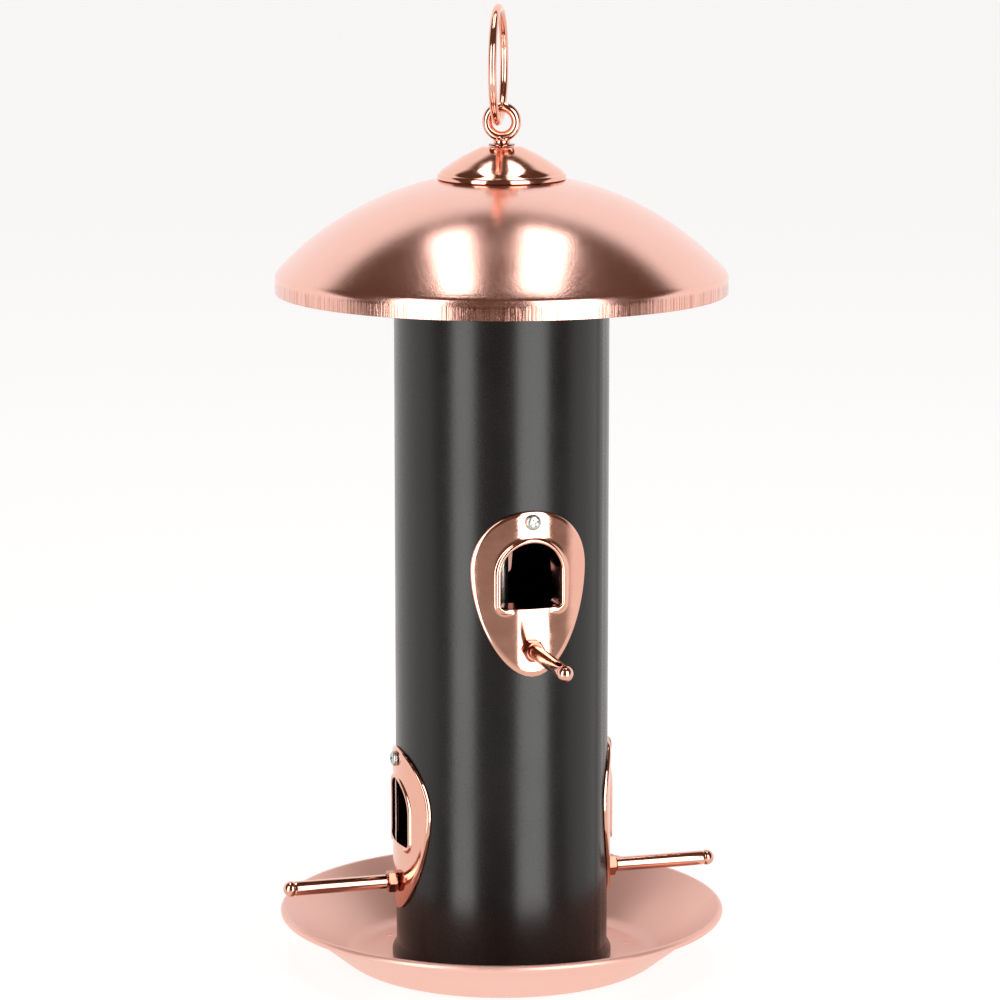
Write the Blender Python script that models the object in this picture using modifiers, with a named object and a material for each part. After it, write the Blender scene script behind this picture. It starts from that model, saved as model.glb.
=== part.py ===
"""Hanging tube bird feeder: a black sheet-steel tube with four seed ports and perches,
a copper seed tray below, and a copper roof held down by an eye bolt with a hanging ring.

Units are metres, +Z is up. The origin is on the tube's axis, at the underside of the tray.
Ports face -Y, +X, +Y and -X; those on Y are the upper pair, those on X the lower pair.
"""

import math

import bmesh
import bpy
from mathutils import Matrix, Vector

# ---------------------------------------------------------------- driving dimensions
GAP = 0.0003              # between two pieces that touch
SLIDE_FIT = 0.0005        # radial play of a piece that slides or seats in another
SHEET = 0.0008            # copper-plated sheet of roof, tray and finial

TRAY_RADIUS = 0.080
TRAY_DEPTH = 0.0195
TRAY_FLOOR_RADIUS = 0.051     # the flat part that it stands on
TRAY_BEND = 0.011             # bend between floor and side
RIM_CURL = 0.0009             # centre line of the curled rim
CURL_TURN = math.radians(220)
PLATEAU_HEIGHT = 0.008        # raised centre that the tube fits over
PLATEAU_BEND = 0.002
DRAIN_RADIUS = 0.0012
DRAIN_MARGIN = 0.0035         # drain holes' circle to the edge of the flat floor
DRAIN_COUNT = 8

TUBE_RADIUS = 0.0381
TUBE_WALL = 0.0007
TUBE_HEIGHT = 0.2741
FOOT_STEP = 0.0015            # how far the tube's foot is stepped out
FOOT_HEIGHT = 0.0052

ROOF_RADIUS = 0.080
ROOF_CROWN = 0.108            # spherical radius of the roof
ROOF_BEND = 0.003             # bend between the roof and its upright band
BAND_HEIGHT = 0.0053
COLLAR_LIP = 0.0014           # collar's flange beyond the tube
COLLAR_DEPTH = 0.012

FINIAL_RADIUS = 0.0228
FINIAL_LIP = 0.0016
FINIAL_SHOULDER = 0.0215      # where the cone starts
FINIAL_HEIGHT = 0.0113
FINIAL_TOP = 0.0078

ROD_RADIUS = 0.0025           # M5 tie rod
M5_FLATS = 0.008
M5_NUT = 0.004
WASHER_RADIUS = 0.006
WASHER_THICK = 0.001
COUPLING_LENGTH = 0.020
COUPLING_DROP = 0.0018        # coupling nut's top below the tube's
ROD_IN_COUPLING = 0.0095

SHANK_RADIUS = 0.0024         # threaded shank of the eye bolt
SHANK_ENGAGED = 0.0064        # thread held by the coupling nut: eight turns of 0.8 mm
EYE_RADIUS = 0.0069
EYE_WIRE = 0.00175
EYE_COLLAR_RADIUS = 0.003
EYE_COLLAR_HEIGHT = 0.0012
EYE_WASHER_RADIUS = 0.0046
EYE_WASHER_THICK = 0.0006
EYE_YAW = math.radians(-22)   # the eye's plane is turned this far from facing along Y
RING_RADIUS = 0.02135
RING_WIRE = 0.0015

LOWER_PERCH = 0.0308
PERCH_SPACING = 0.0907
PERCH_RADIUS = 0.0026
PERCH_TIP_RADIUS = 0.0028
PERCH_REACH = 0.081           # tip from the tube's axis
PERCH_SHANK = 0.002           # threaded M4 shank
M4_FLATS = 0.007
M4_NUT = 0.0032

PLATE_THICK = 0.0009
PLATE_HALF_WIDTH = 0.022      # measured along the tube's surface
PLATE_TOE = 0.0097            # below the perch
PLATE_WIDEST = 0.0285         # above the perch
PLATE_TOP = 0.0492
PLATE_RIM = 0.0018            # width of the raised rim round the opening
PLATE_RIM_RISE = 0.0007
PORT_HALF_WIDTH = 0.0112
PORT_SILL = 0.0146            # above the perch
PORT_HEIGHT = 0.0234
PORT_CORNER = 0.0018

BAFFLE_THICK = 0.0008
BAFFLE_HALF_WIDTH = 0.0185
BAFFLE_DEPTH = 0.010          # how far the sill reaches into the tube
BAFFLE_ROOF_DEPTH = 0.016

SCREW_HEIGHT = 0.0454         # above the perch
SCREW_RADIUS = 0.0015         # M3
SCREW_HEAD_RADIUS = 0.0028
SCREW_HEAD_HEIGHT = 0.0016
SCREW_LENGTH = 0.0065
M3_FLATS = 0.0055
M3_NUT = 0.0024

TURN_STEPS = 48               # facets of the large turned shells
FINIAL_STEPS = 24
SMALL_STEPS = 20
HOLE_STEPS = 12

# ---------------------------------------------------------------- worked-out places
TRAY_FLOOR = SHEET
PLATEAU_RADIUS = TUBE_RADIUS - TUBE_WALL - SLIDE_FIT
TUBE_BOTTOM = TRAY_FLOOR + GAP
TUBE_TOP = TUBE_BOTTOM + TUBE_HEIGHT
COLLAR_TOP = TUBE_TOP + GAP + SHEET
COLLAR_FLANGE = TUBE_RADIUS + COLLAR_LIP
ROOF_CENTRE = COLLAR_TOP + GAP - math.sqrt((ROOF_CROWN - SHEET) ** 2 - COLLAR_FLANGE ** 2)
FINIAL_SEAT = ROOF_CENTRE + math.sqrt(ROOF_CROWN ** 2 - FINIAL_RADIUS ** 2) + GAP
FINIAL_PEAK = FINIAL_SEAT + FINIAL_HEIGHT
EYE_WASHER_BASE = FINIAL_PEAK + GAP
EYE_BASE = EYE_WASHER_BASE + EYE_WASHER_THICK + GAP
EYE_CENTRE = EYE_BASE + 0.4 * EYE_COLLAR_HEIGHT + EYE_RADIUS
RING_ASIDE = 0.75 * (EYE_RADIUS - 2 * EYE_WIRE - GAP - RING_WIRE)
PLATEAU_TOP = PLATEAU_HEIGHT + SHEET
COUPLING_TOP = TUBE_TOP - COUPLING_DROP
COUPLING_BASE = COUPLING_TOP - COUPLING_LENGTH
ROD_TOP = COUPLING_BASE + ROD_IN_COUPLING
SHANK_END = COUPLING_TOP - SHANK_ENGAGED
SHANK_BORE = SHANK_RADIUS + GAP
ROD_BORE = ROD_RADIUS + GAP
PERCH_BORE = PERCH_SHANK + GAP
SCREW_BORE = SCREW_RADIUS + GAP
PLATE_INNER = TUBE_RADIUS + GAP
PLATE_OUTER = PLATE_INNER + PLATE_THICK
FACET = 2 * math.pi / TURN_STEPS
SECTOR_FACETS = 2 * math.ceil(PLATE_HALF_WIDTH / PLATE_OUTER / FACET)   # behind a port plate
BAFFLE_OUTER = TUBE_RADIUS - TUBE_WALL - SLIDE_FIT
BAFFLE_INNER = BAFFLE_OUTER - BAFFLE_THICK
PORTS = (                     # name, turn about Z from facing -Y, perch height
    ("front", 0, LOWER_PERCH + PERCH_SPACING),
    ("right", 90, LOWER_PERCH),
    ("back", 180, LOWER_PERCH + PERCH_SPACING),
    ("left", 270, LOWER_PERCH),
)


# ---------------------------------------------------------------- scene and materials
def clear_scene():
    for old in list(bpy.data.objects):
        bpy.data.objects.remove(old, do_unlink=True)


def new_collection(name):
    collection = bpy.data.collections.new(name)
    bpy.context.scene.collection.children.link(collection)
    return collection


def material(name, colour, roughness, metallic):
    made = bpy.data.materials.new(name)
    made.use_nodes = True
    shader = made.node_tree.nodes["Principled BSDF"]
    shader.inputs["Base Color"].default_value = (*colour, 1.0)
    shader.inputs["Roughness"].default_value = roughness
    shader.inputs["Metallic"].default_value = metallic
    return made


clear_scene()
FEEDER = new_collection("tube_bird_feeder")
CUTTERS = new_collection("cutters")
COPPER_SATIN = material("copper_satin", (0.85, 0.50, 0.38), 0.32, 1.0)
COPPER_GLOSS = material("copper_gloss", (0.85, 0.46, 0.33), 0.14, 1.0)
BLACK_ENAMEL = material("black_enamel", (0.012, 0.012, 0.011), 0.42, 0.0)
ZINC = material("zinc_steel", (0.62, 0.63, 0.62), 0.35, 1.0)


# ---------------------------------------------------------------- mesh helpers
def shade(mesh):
    mesh.shade_smooth()
    mesh.set_sharp_from_angle(angle=math.radians(35))


def add_object(name, mesh, look=None):
    """Link a mesh as an object; with a look it is a part, without one it is a helper."""
    made = bpy.data.objects.new(name, mesh)
    (FEEDER if look else CUTTERS).objects.link(made)
    if look:
        mesh.materials.clear()
        mesh.materials.append(look)
        shade(mesh)
    else:
        made.hide_render = True
        made.display_type = "WIRE"
    return made


def profile_mesh(name, points, closed):
    """A chain of (radius, height) points in the XZ plane, for a Screw modifier to turn."""
    mesh = bpy.data.meshes.new(name)
    edges = [(i, i + 1) for i in range(len(points) - 1)]
    if closed:
        edges.append((len(points) - 1, 0))
    mesh.from_pydata([(r, 0.0, z) for r, z in points], edges, [])
    return mesh


def add_screw(obj, steps, angle=2 * math.pi):
    turn = obj.modifiers.new("turn", "SCREW")
    turn.axis = "Z"
    turn.angle = angle
    turn.steps = steps
    turn.render_steps = steps
    turn.use_merge_vertices = angle >= 2 * math.pi
    turn.merge_threshold = 0.00001


def add_sheet(obj, thickness):
    sheet = obj.modifiers.new("sheet", "SOLIDIFY")
    sheet.thickness = thickness
    sheet.offset = 0
    sheet.use_even_offset = True


def add_boolean(obj, operation, tool):
    step = obj.modifiers.new(operation.lower(), "BOOLEAN")
    step.operation = operation
    step.solver = "EXACT"
    if isinstance(tool, bpy.types.Collection):
        step.operand_type = "COLLECTION"
        step.collection = tool
    else:
        step.object = tool


def evaluated_mesh(obj):
    bpy.context.view_layer.update()
    depsgraph = bpy.context.evaluated_depsgraph_get()
    mesh = bpy.data.meshes.new_from_object(obj.evaluated_get(depsgraph), depsgraph=depsgraph)
    mesh.transform(obj.matrix_world)
    work = bmesh.new()
    work.from_mesh(mesh)
    bmesh.ops.remove_doubles(work, verts=work.verts, dist=0.000002)
    work.to_mesh(mesh)
    work.free()
    return mesh


def take_mesh(obj):
    """The finished mesh of a helper object, which is then removed."""
    mesh = evaluated_mesh(obj)
    bpy.data.objects.remove(obj, do_unlink=True)
    return mesh


def turned_sheet(name, points, thickness, look=None, steps=TURN_STEPS):
    """A sheet turned about Z: points run along its centre line, outer side downwards."""
    obj = add_object(name, profile_mesh(name, points, False), look)
    add_screw(obj, steps)
    add_sheet(obj, thickness)
    return obj


def turned_solid(name, points, look=None, steps=SMALL_STEPS):
    """A solid turned about Z. Points off the axis are a closed ring section."""
    ring = min(r for r, _ in points) > 1e-6
    obj = add_object(name, profile_mesh(name, points, ring), look)
    add_screw(obj, steps)
    return obj


def cylinder(name, radius, low, high, steps=HOLE_STEPS):
    """A helper cylinder along Z between two heights."""
    mesh = bpy.data.meshes.new(name)
    work = bmesh.new()
    bmesh.ops.create_cone(work, cap_ends=True, segments=steps, radius1=radius, radius2=radius,
                          depth=high - low, matrix=Matrix.Translation((0, 0, (low + high) / 2)))
    work.to_mesh(mesh)
    work.free()
    return add_object(name, mesh)


def arc(centre, radius, start, end, count):
    """Points on an arc in (radius, height), angles in radians."""
    steps = [start + (end - start) * i / (count - 1) for i in range(count)]
    return [(centre[0] + radius * math.cos(a), centre[1] + radius * math.sin(a)) for a in steps]


def prism(name, outline, near, far):
    """An outline in (across, up), as a solid that runs from y=-near to y=-far."""
    curve = bpy.data.curves.new(name, "CURVE")
    curve.dimensions = "2D"
    curve.fill_mode = "BOTH"
    curve.extrude = (far - near) / 2
    spline = curve.splines.new("POLY")
    spline.points.add(len(outline) - 1)
    for point, (across, up) in zip(spline.points, outline):
        point.co = (across, up, 0, 1)
    spline.use_cyclic_u = True
    obj = bpy.data.objects.new(name, curve)
    CUTTERS.objects.link(obj)
    obj.rotation_euler = (math.pi / 2, 0, 0)
    obj.location = (0, -(near + far) / 2, 0)
    return add_object(name + "_solid", take_mesh(obj))


def side_drill(name, radius, up, near, far):
    """A helper cylinder along -Y, at a height above the perch."""
    drill = cylinder(name, radius, near, far)
    off_seam = Matrix.Rotation(math.pi / HOLE_STEPS, 4, "Z")
    drill.data.transform(Matrix.Rotation(math.pi / 2, 4, "X") @ off_seam)
    drill.location.z = up
    return drill


def hexagon_nut(name, flats, thick, bore):
    """The mesh of a nut that stands on z=0."""
    nut = cylinder(name, flats / math.sqrt(3), 0, thick, steps=6)
    hole = cylinder(name + "_bore", bore, -thick, 2 * thick, steps=16)
    add_boolean(nut, "DIFFERENCE", hole)
    mesh = take_mesh(nut)
    bpy.data.objects.remove(hole, do_unlink=True)
    return mesh


def flat_washer(name, radius, bore, thick, base, look):
    section = [(radius, base + thick), (radius, base), (bore, base), (bore, base + thick)]
    return turned_solid(name, section, look)


# ---------------------------------------------------------------- tray and tube
def tray_line():
    """Centre line of the tray's sheet, from the curled rim in to the bore."""
    half = SHEET / 2
    curl = (TRAY_RADIUS - RIM_CURL - half, TRAY_DEPTH - RIM_CURL - half)
    bend = (TRAY_FLOOR_RADIUS, half + TRAY_BEND)
    across = Vector((curl[0] - bend[0], curl[1] - bend[1]))
    slope = math.atan2(across.y, across.x) + math.asin((TRAY_BEND + RIM_CURL) / across.length)
    quarter = math.pi / 2
    line = arc(curl, RIM_CURL, slope + quarter - CURL_TURN, slope + quarter, 5)
    line += arc(bend, TRAY_BEND, slope - quarter, -quarter, 5)
    wall = PLATEAU_RADIUS - half
    foot_bend = FOOT_STEP - GAP
    line += arc((wall + foot_bend, half + foot_bend), foot_bend, -quarter, -math.pi, 3)
    top = PLATEAU_HEIGHT + half
    line += arc((wall - PLATEAU_BEND, top - PLATEAU_BEND), PLATEAU_BEND, 0, quarter, 3)
    line.append((ROD_BORE, top))
    return line


def make_tray():
    tray = turned_sheet("seed_tray", tray_line(), SHEET, COPPER_SATIN)
    drains = new_collection("drain_cutters")
    for i in range(DRAIN_COUNT):
        angle = 2 * math.pi * i / DRAIN_COUNT
        hole = cylinder(f"drain_{i}", DRAIN_RADIUS, -SHEET, 2 * SHEET)
        hole.location.x = (TRAY_FLOOR_RADIUS - DRAIN_MARGIN) * math.cos(angle)
        hole.location.y = (TRAY_FLOOR_RADIUS - DRAIN_MARGIN) * math.sin(angle)
        CUTTERS.objects.unlink(hole)
        drains.objects.link(hole)
    add_boolean(tray, "DIFFERENCE", drains)
    return tray


def port_outline(margin=0.0):
    """The seed port: flat sill with round corners, straight sides and a round arch."""
    half = PORT_HALF_WIDTH + margin
    sill = PORT_SILL - margin
    corner = PORT_CORNER + margin
    spring = PORT_SILL + PORT_HEIGHT - PORT_HALF_WIDTH
    right = arc((half - corner, sill + corner), corner, -math.pi / 2, 0, 3)
    left = arc((corner - half, sill + corner), corner, math.pi, 1.5 * math.pi, 3)
    return right + arc((0, spring), half, 0, math.pi, 9) + left


def make_tube():
    line_radius = TUBE_RADIUS - TUBE_WALL / 2
    step = line_radius + FOOT_STEP
    line = [
        (line_radius, TUBE_TOP),
        (line_radius, TUBE_BOTTOM + FOOT_HEIGHT),
        (step, TUBE_BOTTOM + FOOT_HEIGHT / 2),
        (step, TUBE_BOTTOM),
    ]
    tube = turned_sheet("tube", line, TUBE_WALL, BLACK_ENAMEL)
    cuts = new_collection("tube_cutters")
    near, far = TUBE_RADIUS / 2, TUBE_RADIUS * 1.3
    for name, turn, height in PORTS:
        tools = (
            prism("port_cut_" + name, port_outline(GAP), near, far),
            side_drill("perch_cut_" + name, PERCH_BORE, 0, near, far),
            side_drill("screw_cut_" + name, SCREW_BORE, SCREW_HEIGHT, near, far),
        )
        for tool in tools:
            tool.rotation_euler.z = math.radians(turn)
            tool.location.z += height
            CUTTERS.objects.unlink(tool)
            cuts.objects.link(tool)
    add_boolean(tube, "DIFFERENCE", cuts)
    return tube


# ---------------------------------------------------------------- port pieces
def plate_outline(half, widest, top, toe):
    """Egg shape: an elliptical top over flanks that close in to a narrow round toe."""
    right = [(half * math.cos(a), widest + (top - widest) * math.sin(a))
             for a in [math.pi / 2 * i / 5 for i in range(6)]]
    flank = []
    reach_down, reach_across = 0.44 * (widest + toe), 0.48 * half
    for i in range(1, 6):
        t = i / 6
        a, b, c, d = (1 - t) ** 3, 3 * t * (1 - t) ** 2, 3 * t * t * (1 - t), t ** 3
        across = half * (a + b) + reach_across * c
        up = widest * a + (widest - reach_down) * b - toe * (c + d)
        flank.append((across, up))
    quarter = [(0, -toe)] + flank[::-1] + right
    return quarter + [(-across, up) for across, up in quarter[-2:0:-1]]


def bowed_sector(name, inner, thick, low, high):
    """Part of a thin tube, facing -Y, in step with the facets of the feeder's tube."""
    angle = SECTOR_FACETS * FACET
    line = [(inner + thick / 2, high), (inner + thick / 2, low)]
    sector = add_object(name, profile_mesh(name, line, False))
    add_screw(sector, SECTOR_FACETS, angle)
    add_sheet(sector, thick)
    sector.rotation_euler.z = -math.pi / 2 - angle / 2
    return sector


def surface_scale(outline, radius):
    """Sizes measured round the tube, turned into straight distances across it."""
    return [(radius * math.sin(across / radius), up) for across, up in outline]


def cut_piece(blank, steps):
    """Boolean steps on a helper, applied in order; the tools are removed."""
    for operation, tool in steps:
        add_boolean(blank, operation, tool)
    mesh = take_mesh(blank)
    for _, tool in steps:
        bpy.data.objects.remove(tool, do_unlink=True)
    return mesh


def plate_mesh():
    low, high = -2 * PLATE_TOE, PLATE_TOP + PLATE_TOE
    near, far = TUBE_RADIUS / 2, TUBE_RADIUS * 1.3
    egg = surface_scale(
        plate_outline(PLATE_HALF_WIDTH, PLATE_WIDEST, PLATE_TOP, PLATE_TOE), PLATE_OUTER)
    rim = cut_piece(
        bowed_sector("rim_blank", PLATE_INNER, PLATE_THICK + PLATE_RIM_RISE, low, high),
        [("INTERSECT", prism("rim_outer", port_outline(PLATE_RIM), near, far))])
    return cut_piece(
        bowed_sector("plate_blank", PLATE_INNER, PLATE_THICK, low, high), [
            ("INTERSECT", prism("plate_egg", egg, near, far)),
            ("UNION", add_object("rim_solid", rim)),
            ("DIFFERENCE", prism("plate_port", port_outline(), near, far)),
            ("DIFFERENCE", side_drill("plate_perch", PERCH_BORE, 0, near, far)),
            ("DIFFERENCE", side_drill("plate_screw", SCREW_BORE, SCREW_HEIGHT, near, far)),
        ])


def duct_mesh():
    """The arched block that the duct is bored in: its roof reaches further in than its sill."""
    inner_end = BAFFLE_OUTER - BAFFLE_ROOF_DEPTH
    duct = prism("duct_blank", port_outline(BAFFLE_THICK), inner_end, TUBE_RADIUS)
    middle = (BAFFLE_INNER + BAFFLE_OUTER) / 2
    barrel = cylinder("duct_barrel", middle, -PLATE_TOE, PLATE_TOP, steps=TURN_STEPS)
    slope = math.atan2(BAFFLE_ROOF_DEPTH - BAFFLE_DEPTH, PORT_HEIGHT)
    wide, tall = TUBE_RADIUS, 2 * PLATE_TOP
    slant = prism("duct_slant", [(-wide, -tall), (wide, -tall), (wide, tall), (-wide, tall)],
                  0, TUBE_RADIUS)
    slant.data.transform(Matrix.Translation((0, TUBE_RADIUS, 0)))
    slant.data.transform(Matrix.Rotation(slope, 4, "X"))
    slant.location = (0, -(BAFFLE_OUTER - BAFFLE_DEPTH), PORT_SILL)
    return cut_piece(duct, [("DIFFERENCE", slant), ("INTERSECT", barrel)])


def baffle_mesh():
    low, high = -2 * PLATE_TOE, PLATE_TOP + PLATE_TOE
    near, far = (BAFFLE_OUTER - BAFFLE_ROOF_DEPTH) / 2, TUBE_RADIUS * 1.3
    inset = PLATE_HALF_WIDTH - BAFFLE_HALF_WIDTH
    egg = surface_scale(plate_outline(BAFFLE_HALF_WIDTH, PLATE_WIDEST,
                                      PLATE_TOP, PLATE_TOE - inset), BAFFLE_OUTER)
    return cut_piece(
        bowed_sector("baffle_blank", BAFFLE_INNER, BAFFLE_THICK, low, high), [
            ("INTERSECT", prism("baffle_egg", egg, near, far)),
            ("UNION", add_object("duct_solid", duct_mesh())),
            ("DIFFERENCE", prism("baffle_port", port_outline(), near, far)),
            ("DIFFERENCE", side_drill("baffle_perch", PERCH_BORE, 0, near, far)),
            ("DIFFERENCE", side_drill("baffle_screw", SCREW_BORE, SCREW_HEIGHT, near, far)),
        ])


def seat_inside(flats):
    """Distance from the tube's axis to a nut's face that rests inside the bowed baffle."""
    corner = flats / math.sqrt(3)
    return math.sqrt((BAFFLE_INNER * math.cos(FACET / 2)) ** 2 - corner ** 2) - GAP


def perch_mesh():
    """A rod along +Z, its origin at the tube's axis: tip, rod, shoulder and shank."""
    shoulder = PLATE_OUTER + GAP + M4_NUT + GAP
    shank_end = seat_inside(M4_FLATS) - M4_NUT - 0.001
    tip = PERCH_TIP_RADIUS
    outline = [(0, PERCH_REACH)]
    outline += arc((0, PERCH_REACH - tip), tip, math.radians(67), 0, 4)
    outline += [
        (tip, PERCH_REACH - 1.6 * tip), (PERCH_RADIUS, PERCH_REACH - 1.8 * tip),
        (PERCH_RADIUS, shoulder), (PERCH_SHANK, shoulder), (PERCH_SHANK, shank_end),
        (0, shank_end),
    ]
    return take_mesh(turned_solid("perch_blank", outline, steps=14))


def screw_mesh():
    """A pan head screw along +Z, its origin at the tube's axis."""
    seat = PLATE_OUTER + GAP
    rise = SCREW_HEAD_HEIGHT
    outline = [(0, seat + rise), (0.6 * SCREW_HEAD_RADIUS, seat + 0.94 * rise),
               (0.9 * SCREW_HEAD_RADIUS, seat + 0.6 * rise), (SCREW_HEAD_RADIUS, seat),
               (SCREW_RADIUS, seat), (SCREW_RADIUS, seat - SCREW_LENGTH),
               (0, seat - SCREW_LENGTH)]
    return take_mesh(turned_solid("screw_blank", outline, steps=14))


def make_ports():
    upright = Matrix.Rotation(math.pi / 2, 4, "X")
    inner_m4 = seat_inside(M4_FLATS) - M4_NUT
    inner_m3 = seat_inside(M3_FLATS) - M3_NUT
    outward = (                # name, mesh, distance from the axis, height, look
        ("perch", perch_mesh(), 0, 0, COPPER_GLOSS),
        ("perch_nut", hexagon_nut("perch_nut", M4_FLATS, M4_NUT, PERCH_BORE),
         PLATE_OUTER + GAP, 0, COPPER_GLOSS),
        ("perch_inner_nut", hexagon_nut("perch_inner_nut", M4_FLATS, M4_NUT, PERCH_BORE),
         inner_m4, 0, ZINC),
        ("port_screw", screw_mesh(), 0, SCREW_HEIGHT, ZINC),
        ("port_screw_nut", hexagon_nut("port_screw_nut", M3_FLATS, M3_NUT, SCREW_BORE),
         inner_m3, SCREW_HEIGHT, ZINC),
    )
    pieces = [("port_plate", plate_mesh(), COPPER_GLOSS),
              ("seed_baffle", baffle_mesh(), COPPER_GLOSS)]
    for name, mesh, distance, height, look in outward:
        mesh.transform(Matrix.Translation((0, -distance, height)) @ upright)
        pieces.append((name, mesh, look))
    for side, turn, height in PORTS:
        mark = bpy.data.objects.new("port_" + side, None)
        FEEDER.objects.link(mark)
        mark.location.z = height
        mark.rotation_euler.z = math.radians(turn)
        for name, mesh, look in pieces:
            piece = add_object(f"{name}_{side}", mesh, look)
            piece.parent = mark


# ---------------------------------------------------------------- tie rod
def make_tie_rod():
    bottom = SHEET
    rod = cylinder("rod_blank", ROD_RADIUS, bottom, ROD_TOP, steps=16)
    add_object("tie_rod", take_mesh(rod), ZINC)
    under = PLATEAU_HEIGHT - GAP - WASHER_THICK
    flat_washer("base_washer", WASHER_RADIUS, ROD_BORE, WASHER_THICK, under, ZINC)
    over = PLATEAU_TOP + GAP
    flat_washer("rod_washer", WASHER_RADIUS, ROD_BORE, WASHER_THICK, over, ZINC)
    nut = hexagon_nut("rod_nut_mesh", M5_FLATS, M5_NUT, ROD_BORE)
    base_nut = add_object("base_nut", nut, ZINC)
    base_nut.location.z = under - GAP - M5_NUT
    rod_nut = add_object("rod_nut", nut, ZINC)
    rod_nut.location.z = over + WASHER_THICK + GAP
    bore = max(ROD_BORE, SHANK_BORE)
    coupling = hexagon_nut("coupling_mesh", M5_FLATS, COUPLING_LENGTH, bore)
    add_object("coupling_nut", coupling, ZINC).location.z = COUPLING_BASE


# ---------------------------------------------------------------- roof
def roof_line():
    """Centre line of the roof's sheet, from the bore out and down the upright band."""
    half = SHEET / 2
    crown = ROOF_CROWN - half
    edge = ROOF_RADIUS - half - ROOF_BEND
    bend_height = math.sqrt((crown - ROOF_BEND) ** 2 - edge ** 2)
    bend_angle = math.atan2(bend_height, edge)
    bore_angle = math.acos(SHANK_BORE / crown)
    line = arc((0, ROOF_CENTRE), crown, bore_angle, bend_angle, 9)
    line += arc((edge, ROOF_CENTRE + bend_height), ROOF_BEND, bend_angle, 0, 4)[1:]
    line.append((ROOF_RADIUS - half, ROOF_CENTRE + bend_height - BAND_HEIGHT))
    return line


def finial_line():
    """Centre line of the finial: upright lip, saddle, cone and small flat top."""
    half = SHEET / 2
    edge = FINIAL_RADIUS - half
    lip_top = FINIAL_SEAT + FINIAL_LIP - half
    peak = FINIAL_PEAK - half
    return [
        (SHANK_BORE, peak), (FINIAL_TOP - 0.0012, peak), (FINIAL_TOP, peak - 0.0005),
        (FINIAL_SHOULDER - 0.0012, lip_top + 0.0024), (FINIAL_SHOULDER, lip_top + 0.0012),
        (edge - 0.0008, lip_top), (edge, lip_top - 0.0005), (edge, FINIAL_SEAT),
    ]


def make_roof():
    turned_sheet("roof", roof_line(), SHEET, COPPER_SATIN)
    turned_sheet("finial", finial_line(), SHEET, COPPER_GLOSS, steps=FINIAL_STEPS)
    spigot = TUBE_RADIUS - TUBE_WALL - SLIDE_FIT - SHEET / 2
    flange = COLLAR_TOP - SHEET / 2
    line = [(spigot, flange - COLLAR_DEPTH), (spigot, flange), (COLLAR_FLANGE, flange)]
    turned_sheet("roof_collar", line[::-1], SHEET, ZINC)
    flat_washer("eye_washer", EYE_WASHER_RADIUS, SHANK_BORE, EYE_WASHER_THICK,
                EYE_WASHER_BASE, COPPER_GLOSS)


# ---------------------------------------------------------------- eye bolt and ring
def torus_mesh(name, major, minor, major_steps, minor_steps, turn):
    """A ring helper: its plane is stood upright by a turn matrix."""
    bpy.ops.mesh.primitive_torus_add(
        major_radius=major, minor_radius=minor,
        major_segments=major_steps, minor_segments=minor_steps)
    made = bpy.context.object
    mesh = made.data
    bpy.data.objects.remove(made, do_unlink=True)
    mesh.transform(turn)
    return mesh


def make_eye_bolt():
    """Eye, collar and shank in one piece; its origin is on the feeder's axis."""
    stand = Matrix.Rotation(math.pi / 2, 4, "X")
    loop = add_object("eye_loop", torus_mesh(
        "eye_loop", EYE_RADIUS - EYE_WIRE, EYE_WIRE, 24, 8, stand))
    loop.location.z = EYE_CENTRE
    outline = [
        (0, EYE_CENTRE - EYE_RADIUS + 0.9 * EYE_WIRE),
        (0.7 * SHANK_RADIUS, EYE_CENTRE - EYE_RADIUS + 0.9 * EYE_WIRE),
        (SHANK_RADIUS, EYE_BASE + EYE_COLLAR_HEIGHT),
        (EYE_COLLAR_RADIUS, EYE_BASE + 0.7 * EYE_COLLAR_HEIGHT),
        (EYE_COLLAR_RADIUS, EYE_BASE), (SHANK_RADIUS, EYE_BASE),
        (SHANK_RADIUS, SHANK_END), (0, SHANK_END),
    ]
    shank = turned_solid("eye_shank", outline)
    add_boolean(loop, "UNION", shank)
    mesh = take_mesh(loop)
    bpy.data.objects.remove(shank, do_unlink=True)
    mesh.transform(Matrix.Translation((0, 0, -EYE_CENTRE)))
    axis = bpy.data.objects.new("eye_axis", None)
    FEEDER.objects.link(axis)
    axis.location.z = EYE_CENTRE
    axis.rotation_euler.z = EYE_YAW
    bolt = add_object("eye_bolt", mesh, COPPER_GLOSS)
    bolt.parent = axis
    return axis


def make_ring(axis):
    """The hanging ring; its origin is where its wire crosses the eye, beside the middle."""
    major = RING_RADIUS - RING_WIRE
    stand = Matrix.Translation((0, 0, major)) @ Matrix.Rotation(math.pi / 2, 4, "Y")
    ring = add_object("hanging_ring", torus_mesh(
        "ring_wire", major, RING_WIRE, 36, 8, stand), COPPER_GLOSS)
    ring.parent = axis
    ring.location.x = -RING_ASIDE


make_tray()
make_tube()
make_ports()
make_tie_rod()
make_roof()
make_ring(make_eye_bolt())
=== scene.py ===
"""Looks of the hanging tube bird feeder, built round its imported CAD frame.

Every shell is turned, bent or bored again here at full smoothness, and rides on its CAD body.
Lengths are metres in the row frame: +Z up, the upper seed ports face -Y and +Y.
"""

import math

import bmesh
import bpy
import numpy as np
from mathutils import Matrix, Vector


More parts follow.
